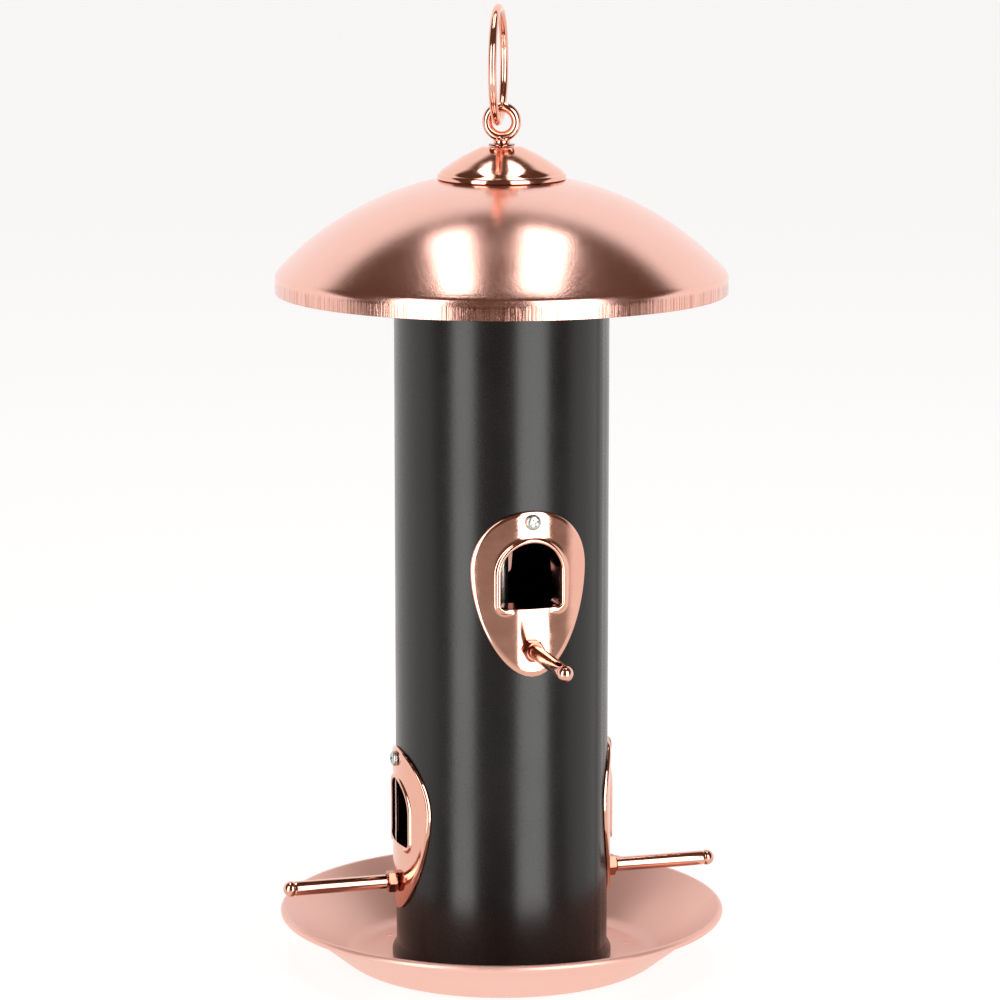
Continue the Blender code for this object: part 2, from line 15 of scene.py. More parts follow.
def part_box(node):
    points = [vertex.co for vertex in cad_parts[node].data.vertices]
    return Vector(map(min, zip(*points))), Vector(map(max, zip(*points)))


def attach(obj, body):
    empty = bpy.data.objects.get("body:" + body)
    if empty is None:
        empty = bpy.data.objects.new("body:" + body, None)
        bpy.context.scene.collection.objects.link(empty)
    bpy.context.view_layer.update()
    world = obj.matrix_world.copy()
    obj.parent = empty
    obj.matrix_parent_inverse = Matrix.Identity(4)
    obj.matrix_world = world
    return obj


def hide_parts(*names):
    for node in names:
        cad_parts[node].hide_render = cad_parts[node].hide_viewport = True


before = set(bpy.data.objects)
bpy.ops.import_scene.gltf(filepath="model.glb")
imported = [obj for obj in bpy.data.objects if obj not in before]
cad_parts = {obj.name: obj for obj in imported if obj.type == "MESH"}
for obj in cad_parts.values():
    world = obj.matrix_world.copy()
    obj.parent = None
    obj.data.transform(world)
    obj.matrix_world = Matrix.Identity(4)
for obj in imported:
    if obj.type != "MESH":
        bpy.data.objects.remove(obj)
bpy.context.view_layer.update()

# ---------------------------------------------------------------- camera and light
CAMERA_TURN = math.radians(-16)      # from facing +Y, towards -X
CAMERA_DISTANCE = 1.420
CAMERA_HEIGHT = 0.4235
CAMERA_PITCH = math.radians(10.2)
CAMERA_ASIDE = -0.0006
LENS = 145.8
FLOOR_RADIUS = 7.0
SWEEP_LEAN = -0.85                   # the sweep's upper edge leans away from the camera
SWEEP_EDGE, SWEEP_BLUR = -0.10, 0.10
SWEEP_PALE = (1.04, 1.02, 1.02, 1)
STUDIO_DARK = (0.10, 0.055, 0.035, 1)
FLOOR_TONE = (0.86, 0.81, 0.76, 1)
BOX_RADIANCE = 4.0

# ---------------------------------------------------------------- sheet and shell sizes
SHEET = 0.0008
ROOF_CROWN = 0.108
ROOF_BEND = 0.003
TUBE_WALL = 0.0007
FOOT_STEP = 0.0015
FOOT_HEIGHT = 0.0052
SEAM_TURN = math.radians(49)         # lap seam, from -Y towards +X
SEAM_WIDTH = 0.0052
SEAM_RISE = 0.00022
TRAY_BEND = 0.011
TRAY_FLOOR_RADIUS = 0.051
RIM_CURL = 0.0009
PLATEAU_HEIGHT = 0.008
DRAIN_RADIUS = 0.0012
DRAIN_MARGIN = 0.0035
DRAIN_COUNT = 8
SLIDE_FIT = 0.0005
GAP = 0.0003

PLATE_HALF_WIDTH = 0.022
PLATE_TOE = 0.0097
PLATE_WIDEST = 0.0285
PLATE_TOP = 0.0492
PLATE_THICK = 0.0009
BEAD_WIDTH = 0.0018
BEAD_RISE = 0.0007
PORT_HALF_WIDTH = 0.0112
PORT_SILL = 0.0146
PORT_HEIGHT = 0.0234
PORT_CORNER = 0.0018
BAFFLE_THICK = 0.0008
BAFFLE_HALF_WIDTH = 0.0185
BAFFLE_DEPTH = 0.010
BAFFLE_ROOF_DEPTH = 0.016
SCREW_HEIGHT = 0.0454

M5_FLATS, M4_FLATS, M3_FLATS = 0.008, 0.007, 0.0055
ROD_RADIUS, PERCH_RADIUS, PERCH_SHANK, SCREW_RADIUS = 0.0025, 0.0026, 0.0020, 0.0015
PERCH_TIP_RADIUS = 0.0028
SCREW_HEAD_RADIUS, SCREW_HEAD_HEIGHT = 0.0028, 0.0016
SHANK_RADIUS = 0.0024
EYE_RADIUS, EYE_WIRE, EYE_YAW = 0.0069, 0.00175, math.radians(-22)
RING_WIRE = 0.0015

ROUND = 192                          # facets of the large turned shells

# ---------------------------------------------------------------- places, from the frame
TUBE_LOW, TUBE_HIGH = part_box("tube")
ROOF_LOW, ROOF_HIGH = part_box("roof")
FINIAL_LOW, FINIAL_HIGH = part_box("finial")
TRAY_LOW, TRAY_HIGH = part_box("seed_tray")
COLLAR_LOW, COLLAR_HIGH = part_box("roof_collar")
EYE_LOW, EYE_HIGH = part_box("eye_bolt")
RING_LOW, RING_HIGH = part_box("hanging_ring")
TUBE_RADIUS = TUBE_HIGH.x - FOOT_STEP
PLATE_INNER = TUBE_RADIUS + GAP
BAFFLE_OUTER = TUBE_RADIUS - TUBE_WALL - SLIDE_FIT
SIDES = (("front", 0), ("right", 90), ("back", 180), ("left", 270))


def perch_height(side):
    low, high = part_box("perch_" + side)
    return (low.z + high.z) / 2


# ---------------------------------------------------------------- materials
class Nodes:
    """A material's node tree, with short calls for adding and linking nodes."""

    def __init__(self, name):
        self.material = bpy.data.materials.new(name)
        self.material.use_nodes = True
        self.tree = self.material.node_tree
        self.shader = self.tree.nodes["Principled BSDF"]

    def link(self, source, target):
        self.tree.links.new(source, target)

    def add(self, kind, inputs=None, **settings):
        node = self.tree.nodes.new("ShaderNode" + kind)
        for name, value in settings.items():
            setattr(node, name, value)
        for name, value in (inputs or {}).items():
            if isinstance(value, bpy.types.NodeSocket):
                self.link(value, node.inputs[name])
            else:
                node.inputs[name].default_value = value
        return node

    def maths(self, operation, first, second=0.0):
        return self.add("Math", {0: first, 1: second}, operation=operation).outputs[0]

    def place(self):
        return self.add("TexCoord").outputs["Object"]

    def noise(self, vector, scale, detail=3.0, roughness=0.5):
        node = self.add("TexNoise", {"Vector": vector, "Scale": scale, "Detail": detail,
                                     "Roughness": roughness})
        return node.outputs["Fac"]

    def spread(self, value, low, high, to_low, to_high):
        """A value's range from low to high, moved to another range and held inside it."""
        node = self.add("MapRange", {"Value": value, "From Min": low, "From Max": high,
                                     "To Min": to_low, "To Max": to_high})
        return node.outputs["Result"]

    def blend(self, share, first, second):
        node = self.add("Mix", data_type="RGBA")
        for socket, value in zip((node.inputs[0], node.inputs[6], node.inputs[7]),
                                 (share, first, second)):
            if isinstance(value, bpy.types.NodeSocket):
                self.link(value, socket)
            else:
                socket.default_value = value
        return node.outputs[2]

    def turned_grain(self, around, along):
        """Coordinates for grain on a turned shell: one scale round it, one along its profile."""
        parts = self.add("SeparateXYZ", {"Vector": self.place()})
        x, y, z = parts.outputs
        radius = self.maths("SQRT", self.maths("ADD", self.maths("MULTIPLY", x, x),
                                               self.maths("MULTIPLY", y, y)))
        safe = self.maths("MAXIMUM", radius, 0.0005)
        ring_x = self.maths("MULTIPLY", self.maths("DIVIDE", x, safe), around)
        ring_y = self.maths("MULTIPLY", self.maths("DIVIDE", y, safe), around)
        profile = self.maths("MULTIPLY", self.maths("SUBTRACT", radius, z), along)
        joined = self.add("CombineXYZ", {0: ring_x, 1: ring_y, 2: profile})
        return joined.outputs[0], z

    def bump(self, height, strength, distance, under=None):
        inputs = {"Height": height, "Strength": strength, "Distance": distance}
        if under is not None:
            inputs["Normal"] = under
        return self.add("Bump", inputs).outputs["Normal"]

    def finish(self, colour, roughness, normal, metallic=1.0):
        for name, value in (("Base Color", colour), ("Roughness", roughness),
                            ("Normal", normal)):
            if isinstance(value, bpy.types.NodeSocket):
                self.link(value, self.shader.inputs[name])
            elif value is not None:
                self.shader.inputs[name].default_value = value
        self.shader.inputs["Metallic"].default_value = metallic
        return self.material


COPPER = (0.920, 0.550, 0.470, 1)
COPPER_WARM = (0.920, 0.520, 0.410, 1)
COPPER_DEEP = (0.840, 0.430, 0.320, 1)
# The last tone serves twice: as the darker brushed lines on the roof band, and as the base of the
# deep look, a copy of the copper darkened as painted shade.
COPPER_DARK_GRAIN_AND_SHADE = (0.500, 0.190, 0.130, 1)


def copper_tone(nodes, light, deep):
    """Plating that drifts slightly between two tones, with small darker stains."""
    drift = nodes.noise(nodes.place(), 22.0, 4.0, 0.6)
    stain = nodes.noise(nodes.place(), 160.0, 5.0, 0.65)
    tone = nodes.blend(nodes.spread(drift, 0.35, 0.7, 0.0, 0.55), light, deep)
    return nodes.blend(nodes.spread(stain, 0.60, 0.78, 0.0, 0.35), tone, deep)


def satin_copper(name, dull, metallic, band_top=None):
    """Spun sheet with a lightly speckled satin face; below band_top it is cross brushed."""
    nodes = Nodes(name)
    rings, height = nodes.turned_grain(4.0, 1600.0)
    spun = nodes.noise(rings, 1.0, 2.0, 0.5)
    speckle = nodes.noise(nodes.place(), 1500.0, 2.0, 0.7)
    patches = nodes.noise(nodes.place(), 40.0, 4.0, 0.6)
    rough = nodes.maths("ADD", nodes.spread(patches, 0.3, 0.7, dull, dull + 0.05),
                        nodes.spread(speckle, 0.35, 0.75, -0.03, 0.05))
    normal = nodes.bump(spun, 0.08, 0.00012)
    normal = nodes.bump(speckle, 0.22, 0.00010, normal)
    tone = copper_tone(nodes, COPPER, COPPER_WARM)
    if band_top is not None:
        streaks, _ = nodes.turned_grain(150.0, 25.0)
        lines = nodes.noise(streaks, 1.0, 3.0, 0.7)
        band = nodes.spread(height, band_top + 0.0008, band_top - 0.0004, 0.0, 1.0)
        rough = nodes.maths("ADD", rough, nodes.maths("MULTIPLY", band, -0.06))
        scored = nodes.maths("MULTIPLY", lines, band)
        normal = nodes.bump(scored, 0.26, 0.00030, normal)
        worn = nodes.maths("MULTIPLY", band, nodes.spread(lines, 0.48, 0.64, 0.0, 0.8))
        tone = nodes.blend(worn, tone, COPPER_DARK_GRAIN_AND_SHADE)
    return nodes.finish(tone, rough, normal, metallic)


def bright_copper(name, light, deep):
    """Polished plating over slightly uneven pressed metal."""
    nodes = Nodes(name)
    waves = nodes.noise(nodes.place(), 90.0, 2.0, 0.5)
    grain = nodes.noise(nodes.place(), 1400.0, 2.0, 0.6)
    rough = nodes.spread(nodes.noise(nodes.place(), 200.0, 4.0, 0.6), 0.35, 0.7, 0.07, 0.15)
    normal = nodes.bump(waves, 0.12, 0.0006)
    normal = nodes.bump(grain, 0.05, 0.00008, normal)
    return nodes.finish(copper_tone(nodes, light, deep), rough, normal)


def black_enamel(name):
    """Satin powder coat with a fine orange peel and faint dust."""
    nodes = Nodes(name)
    peel = nodes.noise(nodes.place(), 700.0, 2.0, 0.5)
    cloud = nodes.noise(nodes.place(), 28.0, 4.0, 0.6)
    dust = nodes.noise(nodes.place(), 2200.0, 1.0, 0.5)
    rough = nodes.maths("ADD", nodes.spread(cloud, 0.3, 0.7, 0.22, 0.28),
                        nodes.spread(dust, 0.62, 0.75, 0.0, 0.08))
    tone = nodes.blend(nodes.spread(cloud, 0.35, 0.7, 0.0, 1.0),
                       (0.0030, 0.0030, 0.0028, 1), (0.0050, 0.0046, 0.0042, 1))
    normal = nodes.bump(peel, 0.10, 0.00012)
    nodes.shader.inputs["Specular IOR Level"].default_value = 0.46
    return nodes.finish(tone, rough, normal, metallic=0.0)


def zinc(name):
    """Passivated zinc plating on steel fasteners."""
    nodes = Nodes(name)
    cloud = nodes.noise(nodes.place(), 900.0, 4.0, 0.6)
    fine = nodes.noise(nodes.place(), 5000.0, 2.0, 0.5)
    tone = nodes.blend(nodes.spread(cloud, 0.35, 0.68, 0.0, 1.0),
                       (0.56, 0.59, 0.57, 1), (0.70, 0.70, 0.66, 1))
    rough = nodes.spread(cloud, 0.3, 0.7, 0.26, 0.42)
    return nodes.finish(tone, rough, nodes.bump(fine, 0.15, 0.00005))


BAND_TOP = ROOF_LOW.z + 0.0045
LOOKS = {
    "roof": (satin_copper("roof_copper", 0.17, 1.0, BAND_TOP), "copper_satin"),
    "tray": (satin_copper("tray_copper", 0.36, 0.72), "copper_satin"),
    "bright": (bright_copper("bright_copper", COPPER_WARM, COPPER_DEEP), "copper_gloss"),
    # deep: the polished copper again, with painted shade, a darker copy for the seed duct inside
    # each port, the perch nuts and the eye washer.
    "deep": (bright_copper("painted_shade_copper", COPPER_DARK_GRAIN_AND_SHADE, (0.42, 0.13, 0.08, 1)), "copper_gloss"),
    "black": (black_enamel("black_powder_coat"), "black_enamel"),
    "zinc": (zinc("zinc_plate"), "zinc"),
}


# ---------------------------------------------------------------- mesh helpers
def add_piece(name, mesh, look, body, *nodes):
    """A finished piece in world coordinates: material, smooth shading, body and CAD nodes."""
    piece = bpy.data.objects.new(name, mesh)
    bpy.context.scene.collection.objects.link(piece)
    material, slot = LOOKS[look]
    mesh.materials.clear()
    mesh.materials.append(material)
    mesh.shade_smooth()
    mesh.set_sharp_from_angle(angle=math.radians(38))
    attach(piece, body)
    if nodes:
        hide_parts(*nodes)
    return piece


def arc(centre, radius, start, end, count):
    angles = [start + (end - start) * i / (count - 1) for i in range(count)]
    return [(centre[0] + radius * math.cos(a), centre[1] + radius * math.sin(a)) for a in angles]


def sheet_section(line, thickness):
    """A closed section round a centre line of (radius, height) points, with eased ends."""
    points = [Vector(p) for p in line]
    half = thickness / 2
    sides = ([], [])
    last = len(points) - 1
    for i, point in enumerate(points):
        before = (point - points[i - 1]).normalized() if i else None
        after = (points[i + 1] - point).normalized() if i < last else None
        along = ((before or after) + (after or before)).normalized()
        across = Vector((-along.y, along.x))
        stretch = 1 / max(across.dot(Vector((-(after or before).y, (after or before).x))), 0.6)
        shift = Vector((0, 0))
        if i in (0, last):
            shift = along * (0.3 * half if i == 0 else -0.3 * half)
        sides[0].append(point + across * half * stretch + shift)
        sides[1].append(point - across * half * stretch + shift)
    ends = []
    for i in (last, 0):
        near = points[i - 1] if i else points[1]
        along = (points[i] - near).normalized()
        across = Vector((-along.y, along.x)) * half * 0.55
        ends.append([points[i] + across, points[i] - across])
    loop = sides[0] + ends[0] + sides[1][::-1] + ends[1]
    return [tuple(p) for p in loop]


def revolve(name, outline, steps=ROUND, lift=None):
    """Turn an outline of (radius, height) about Z. An outline off the axis is a closed section."""
    ring = min(r for r, _ in outline) > 1e-7
    work = bmesh.new()
    rows = []
    for r, z in outline:
        if r <= 1e-7:
            rows.append([work.verts.new((0, 0, z))] * steps)
            continue
        row = []
        for i in range(steps):
            a = 2 * math.pi * i / steps
            away = r + (lift(a, r, z) if lift else 0.0)
            row.append(work.verts.new((away * math.cos(a), away * math.sin(a), z)))
        rows.append(row)
    pairs = list(zip(rows, rows[1:]))
    if ring:
        pairs.append((rows[-1], rows[0]))
    for first, second in pairs:
        for i in range(steps):
            j = (i + 1) % steps
            corners = list(dict.fromkeys((first[i], first[j], second[j], second[i])))
            if len(corners) > 2:
                work.faces.new(corners)
    bmesh.ops.recalc_face_normals(work, faces=work.faces)
    mesh = bpy.data.meshes.new(name)
    work.to_mesh(mesh)
    work.free()
    return mesh


def rings_mesh(name, rings):
    """A closed skin over a loop of rings of 3-D points, all with the same count."""
    count = len(rings[0])
    flat = [point for ring in rings for point in ring]
    faces = []
    for k in range(len(rings)):
        base, over = k * count, ((k + 1) % len(rings)) * count
        for i in range(count):
            j = (i + 1) % count
            faces.append((base + i, base + j, over + j, over + i))
    mesh = bpy.data.meshes.new(name)
    mesh.from_pydata(flat, [], faces)
    work = bmesh.new()
    work.from_mesh(mesh)
    bmesh.ops.recalc_face_normals(work, faces=work.faces)
    work.to_mesh(mesh)
    work.free()
    return mesh


def combined(mesh, steps):
    """The mesh after boolean steps of (operation, tool mesh)."""
    body = bpy.data.objects.new("blank", mesh)
    bpy.context.scene.collection.objects.link(body)
    tools = []
    for operation, tool_mesh in steps:
        tool = bpy.data.objects.new("tool", tool_mesh)
        bpy.context.scene.collection.objects.link(tool)
        tool.hide_render = True
        cut = body.modifiers.new("cut", "BOOLEAN")
        cut.operation, cut.solver, cut.object = operation, "EXACT", tool
        tools.append(tool)
    bpy.context.view_layer.update()
    graph = bpy.context.evaluated_depsgraph_get()
    made = bpy.data.meshes.new_from_object(body.evaluated_get(graph), depsgraph=graph)
    for old in (body, *tools):
        bpy.data.objects.remove(old, do_unlink=True)
    return made


def extruded(name, outline, low, high):
    """A prism over an outline of (x, y), between two heights."""
    count = len(outline)
    points = [(x, y, z) for z in (low, high) for x, y in outline]
    faces = [tuple(range(count))[::-1], tuple(range(count, 2 * count))]
    faces += [(i, (i + 1) % count, count + (i + 1) % count, count + i) for i in range(count)]
    mesh = bpy.data.meshes.new(name)
    mesh.from_pydata(points, [], faces)
    return mesh


def moved(mesh, matrix):
    """A copy of a mesh, carried by a matrix."""
    copy = mesh.copy()
    copy.transform(matrix)
    return copy


# ---------------------------------------------------------------- roof, finial and collar
def build_roof():
    half = SHEET / 2
    bore = 0.0027
    centre = ROOF_HIGH.z - math.sqrt(ROOF_CROWN ** 2 - bore ** 2)
    crown = ROOF_CROWN - half
    edge = ROOF_HIGH.x - half - ROOF_BEND
    bend_height = math.sqrt((crown - ROOF_BEND) ** 2 - edge ** 2)
    bend = math.atan2(bend_height, edge)
    line = arc((0, centre), crown, math.acos(bore / crown), bend, 34)
    line += arc((edge, centre + bend_height), ROOF_BEND, bend, 0, 9)[1:]
    line += [(ROOF_HIGH.x - half, ROOF_LOW.z + 0.0016), (ROOF_HIGH.x - half, ROOF_LOW.z)]
    add_piece("roof_shell", revolve("roof_shell", sheet_section(line, SHEET)),
              "roof", "roof", "roof")

    seat, peak = FINIAL_LOW.z, FINIAL_HIGH.z - half
    rim = FINIAL_HIGH.x - half
    line = [(bore, peak), (0.0062, peak), (0.0071, peak - 0.00012), (0.0078, peak - 0.00048)]
    line += [(0.0102, peak - 0.0016), (0.0135, peak - 0.0033), (0.0163, peak - 0.0050)]
    line += [(0.0189, peak - 0.0067), (0.0205, seat + 0.0031), (0.0213, seat + 0.0023)]
    line += arc((rim - 0.0008, seat + 0.0008), 0.0008, math.radians(75), 0, 6)
    line += [(rim, seat)]
    add_piece("finial_cap", revolve("finial_cap", sheet_section(line, SHEET)),
              "bright", "roof", "finial")

    spigot = TUBE_RADIUS - TUBE_WALL - SLIDE_FIT - half
    flange = COLLAR_HIGH.z - half
    line = [(COLLAR_HIGH.x, flange)] + arc((spigot + 0.001, flange - 0.001), 0.001,
                                          math.pi / 2, math.pi, 5)
    line += [(spigot, COLLAR_LOW.z)]
    add_piece("collar_shell", revolve("collar_shell", sheet_section(line, SHEET)),
              "zinc", "roof", "roof_collar")


# ---------------------------------------------------------------- tray
def build_tray():
    half = SHEET / 2
    floor = TRAY_LOW.z + half
    curl = (TRAY_HIGH.x - RIM_CURL - half, TRAY_HIGH.z - RIM_CURL - half)
    bend = (TRAY_FLOOR_RADIUS, floor + TRAY_BEND)
    across = Vector((curl[0] - bend[0], curl[1] - bend[1]))
    slope = math.atan2(across.y, across.x) + math.asin((TRAY_BEND + RIM_CURL) / across.length)
    quarter = math.pi / 2
    wall = TUBE_RADIUS - TUBE_WALL - SLIDE_FIT - half
    foot = FOOT_STEP - GAP
    top = PLATEAU_HEIGHT + half
    line = arc(curl, RIM_CURL, slope + quarter - math.radians(220), slope + quarter, 15)
    line += arc(bend, TRAY_BEND, slope - quarter, -quarter, 16)
    line += [((TRAY_FLOOR_RADIUS + wall + foot) / 2, floor)]
    line += arc((wall + foot, floor + foot), foot, -quarter, -math.pi, 6)
    line += arc((wall - 0.002, top - 0.002), 0.002, 0, quarter, 8)
    line += [(0.012, top), (ROD_RADIUS + GAP, top)]
    drain = extruded("drain", arc((0, 0), DRAIN_RADIUS, 0, 2 * math.pi * 23 / 24, 24),
                     -SHEET, 2 * SHEET)
    place = Matrix.Translation((TRAY_FLOOR_RADIUS - DRAIN_MARGIN, 0, 0))
    cuts = [("DIFFERENCE", moved(drain, Matrix.Rotation(
        math.radians(360 / DRAIN_COUNT * i), 4, "Z") @ place)) for i in range(DRAIN_COUNT)]
    mesh = combined(revolve("tray_dish", sheet_section(line, SHEET)), cuts)
    add_piece("tray_dish", mesh, "tray", "feeder", "seed_tray")


# ---------------------------------------------------------------- port shapes
def port_points():
    """Points round a seed port with their outward directions, from the sill's middle."""
    low, spring = PORT_SILL + PORT_CORNER, PORT_SILL + PORT_HEIGHT - PORT_HALF_WIDTH
    inner = PORT_HALF_WIDTH - PORT_CORNER
    right = [((inner * i / 12, PORT_SILL), (0, -1)) for i in range(12)]
    for i in range(7):
        a = -math.pi / 2 + math.pi / 2 * i / 6
        way = (math.cos(a), math.sin(a))
        right.append(((inner + PORT_CORNER * way[0], low + PORT_CORNER * way[1]), way))
    right += [((PORT_HALF_WIDTH, low + (spring - low) * i / 6), (1, 0)) for i in range(1, 6)]
    for i in range(25):
        a = math.pi / 2 * i / 24
        way = (math.cos(a), math.sin(a))
        right.append(((PORT_HALF_WIDTH * way[0], spring + PORT_HALF_WIDTH * way[1]), way))
    left = [((-x, z), (-u, v)) for (x, z), (u, v) in right[-2:0:-1]]
    return right + left


PORT = port_points()


def port_ring(offset):
    return [(x + u * offset, z + v * offset) for (x, z), (u, v) in PORT]


def egg_ring(half, toe, radius, inset=0.0):
    """The plate's outline where rays through each port point meet it, across and up."""
    middle = Vector((0, PORT_SILL + PORT_HEIGHT * 0.45))
    outline = []
    for i in range(61):
        a = math.pi / 2 * i / 60
        outline.append((half * math.cos(a),
                        PLATE_WIDEST + (PLATE_TOP - PLATE_WIDEST) * math.sin(a)))
    flank = []
    span = PLATE_WIDEST + toe
    for i in range(1, 81):
        t = i / 80
        a, b, c, d = (1 - t) ** 3, 3 * t * (1 - t) ** 2, 3 * t * t * (1 - t), t ** 3
        flank.append((half * (a + b) + 0.48 * half * c,
                      PLATE_WIDEST * (a + b) - 0.44 * span * b - toe * (c + d)))
    side = flank[::-1] + outline
    side = [(radius * math.sin(x / radius), z) for x, z in side]
    full = side + [(-x, z) for x, z in side[::-1]]
    polar = sorted((math.atan2(x, z - middle.y), math.hypot(x, z - middle.y)) for x, z in full)
    turns, reach = zip(*polar)
    ring = []
    for (x, z), _ in PORT:
        turn = math.atan2(x, z - middle.y)
        far = float(np.interp(turn, turns, reach, period=2 * math.pi)) - inset
        ring.append((far * math.sin(turn), middle.y + far * math.cos(turn)))
    return ring


def between(first, second, share):
    return [(a + (c - a) * share, b + (d - b) * share)
            for (a, b), (c, d) in zip(first, second)]


def on_barrel(ring, radius):
    """Put a ring of (across, up) on a barrel about Z, facing -Y. Radius may vary by point."""
    radii = radius if isinstance(radius, list) else [radius] * len(ring)
    return [(x, -math.sqrt(r * r - x * x), z) for (x, z), r in zip(ring, radii)]


def plate_mesh():
    """Egg-shaped plate with a bead round the port that dies away along the sill."""
    outer = PLATE_INNER + PLATE_THICK
    rise = []
    for (x, z), _ in PORT:
        on_sill = max(0.0, min(1.0, (PORT_HALF_WIDTH - 0.0012 - abs(x)) / 0.0030))
        fade = on_sill * on_sill * (3 - 2 * on_sill) if z < PORT_SILL + PORT_CORNER else 0.0
        rise.append(BEAD_RISE * (1 - fade))
    rings = [on_barrel(port_ring(0), PLATE_INNER)]
    for share, lift in ((0, 0.35), (0.12, 0.72), (0.3, 0.96), (0.5, 1.0), (0.7, 0.9),
                        (0.88, 0.5), (1.0, 0.12), (1.15, 0.0)):
        rings.append(on_barrel(port_ring(share * BEAD_WIDTH), [outer + lift * r for r in rise]))
    flat = port_ring(1.15 * BEAD_WIDTH)
    rim = egg_ring(PLATE_HALF_WIDTH, PLATE_TOE, outer, 0.0003)
    for share in (0.12, 0.25, 0.38, 0.5, 0.62, 0.75, 0.88, 1.0):
        rings.append(on_barrel(between(flat, rim, share), outer))
    edge = egg_ring(PLATE_HALF_WIDTH, PLATE_TOE, outer)
    rings.append(on_barrel(egg_ring(PLATE_HALF_WIDTH, PLATE_TOE, outer, 0.0001), outer - 0.0001))
    rings.append(on_barrel(edge, outer - 0.0003))
    rings.append(on_barrel(edge, PLATE_INNER))
    for share in (0.75, 0.5, 0.25):
        rings.append(on_barrel(between(port_ring(0), edge, share), PLATE_INNER))
    return rings_mesh("port_plate", rings)


def baffle_mesh():
    """Backing sheet inside the tube and the arched duct that stands off it."""
    inner = BAFFLE_OUTER - BAFFLE_THICK
    slope = (BAFFLE_ROOF_DEPTH - BAFFLE_DEPTH) / PORT_HEIGHT

    def duct_end(ring):
        return [(x, -(BAFFLE_OUTER - BAFFLE_DEPTH - slope * (z - PORT_SILL)), z)
                for x, z in ring]

    bore, skin = port_ring(0), port_ring(BAFFLE_THICK)
    edge = egg_ring(BAFFLE_HALF_WIDTH, PLATE_TOE - PLATE_HALF_WIDTH + BAFFLE_HALF_WIDTH,
                    BAFFLE_OUTER)
    mouth = on_barrel(bore, BAFFLE_OUTER)
    end = duct_end(bore)
    rings = [mouth]
    for share in (0.08, 0.35, 0.65, 0.92):
        rings.append([tuple(np.add(a, np.subtract(b, a) * share)) for a, b in zip(mouth, end)])
    rings += [end, duct_end(skin), on_barrel(skin, inner)]
    rings += [on_barrel(between(skin, edge, share), inner) for share in (0.3, 0.6, 0.9)]
    rings += [on_barrel(edge, inner), on_barrel(edge, BAFFLE_OUTER)]
    rings += [on_barrel(between(edge, bore, share), BAFFLE_OUTER) for share in (0.25, 0.5, 0.75)]
    return rings_mesh("seed_baffle", rings)


# ---------------------------------------------------------------- tube
def build_tube():
    line_radius = TUBE_RADIUS - TUBE_WALL / 2
    low, high = TUBE_LOW.z, TUBE_HIGH.z
    step = line_radius + FOOT_STEP
    line = [(line_radius, high), (line_radius, low + 0.6 * (high - low)),
            (line_radius, low + 0.3 * (high - low)), (line_radius, low + FOOT_HEIGHT + 0.0006),
            (line_radius + 0.0001, low + FOOT_HEIGHT), (step - 0.0001, low + FOOT_HEIGHT / 2),
            (step, low + FOOT_HEIGHT / 2 - 0.0005), (step, low)]

    def seam(angle, radius, height):
        """The lap seam: the outer ply's edge stands proud of the tube beneath it."""
        from_front = (angle + math.pi / 2) % (2 * math.pi)
        off = (from_front - SEAM_TURN) * TUBE_RADIUS
        if radius < line_radius or height < low + FOOT_HEIGHT:
            return 0.0
        return SEAM_RISE if abs(off) < SEAM_WIDTH / 2 else 0.0

    cutter = extruded("port_cutter", port_ring(4 * GAP), TUBE_RADIUS / 2, TUBE_RADIUS * 1.3)
    lay = Matrix.Rotation(math.pi / 2, 4, "X")
    cuts = []
    for side, turn in SIDES:
        place = Matrix.Rotation(math.radians(turn), 4, "Z") @ Matrix.Translation(
            (0, 0, perch_height(side)))
        cuts.append(("DIFFERENCE", moved(cutter, place @ lay)))
    mesh = combined(revolve("tube_shell", sheet_section(line, TUBE_WALL), lift=seam), cuts)
    add_piece("tube_shell", mesh, "black", "feeder", "tube")


# ---------------------------------------------------------------- fasteners
def hexagon(flats, low, high, bore):
    """A hexagon nut with turned chamfers on both faces and a countersunk bore."""
    corner = flats / math.sqrt(3)
    outline = [(corner * math.cos(math.pi / 3 * i), corner * math.sin(math.pi / 3 * i))
               for i in range(6)]
    nut = extruded("nut", outline, low, high)
    slant = (corner - flats / 2 * 0.96) * math.tan(math.radians(30))
    envelope = revolve("nut_envelope", [
        (0, low), (flats / 2 * 0.96, low), (corner + 0.0001, low + slant + 0.00006),
        (corner + 0.0001, high - slant - 0.00006), (flats / 2 * 0.96, high), (0, high)], 72)
    lip = 0.00035
    hole = revolve("nut_hole", [
        (0, low - lip), (bore + 2 * lip, low - lip), (bore, low + lip), (bore, high - lip),
        (bore + 2 * lip, high + lip), (0, high + lip)], 40)
    return combined(nut, [("INTERSECT", envelope), ("DIFFERENCE", hole)])


def thread(radius, low, high, pitch, depth):
    """Profile points of a screw thread, from its top down."""
    points = []
    turns = max(1, int(round((high - low) / pitch)))
    step = (high - low) / turns
    for i in range(turns):
        top = high - i * step
        points += [(radius - depth, top - 0.05 * step), (radius, top - 0.42 * step),
                   (radius, top - 0.58 * step), (radius - depth, top - 0.95 * step)]
    return points


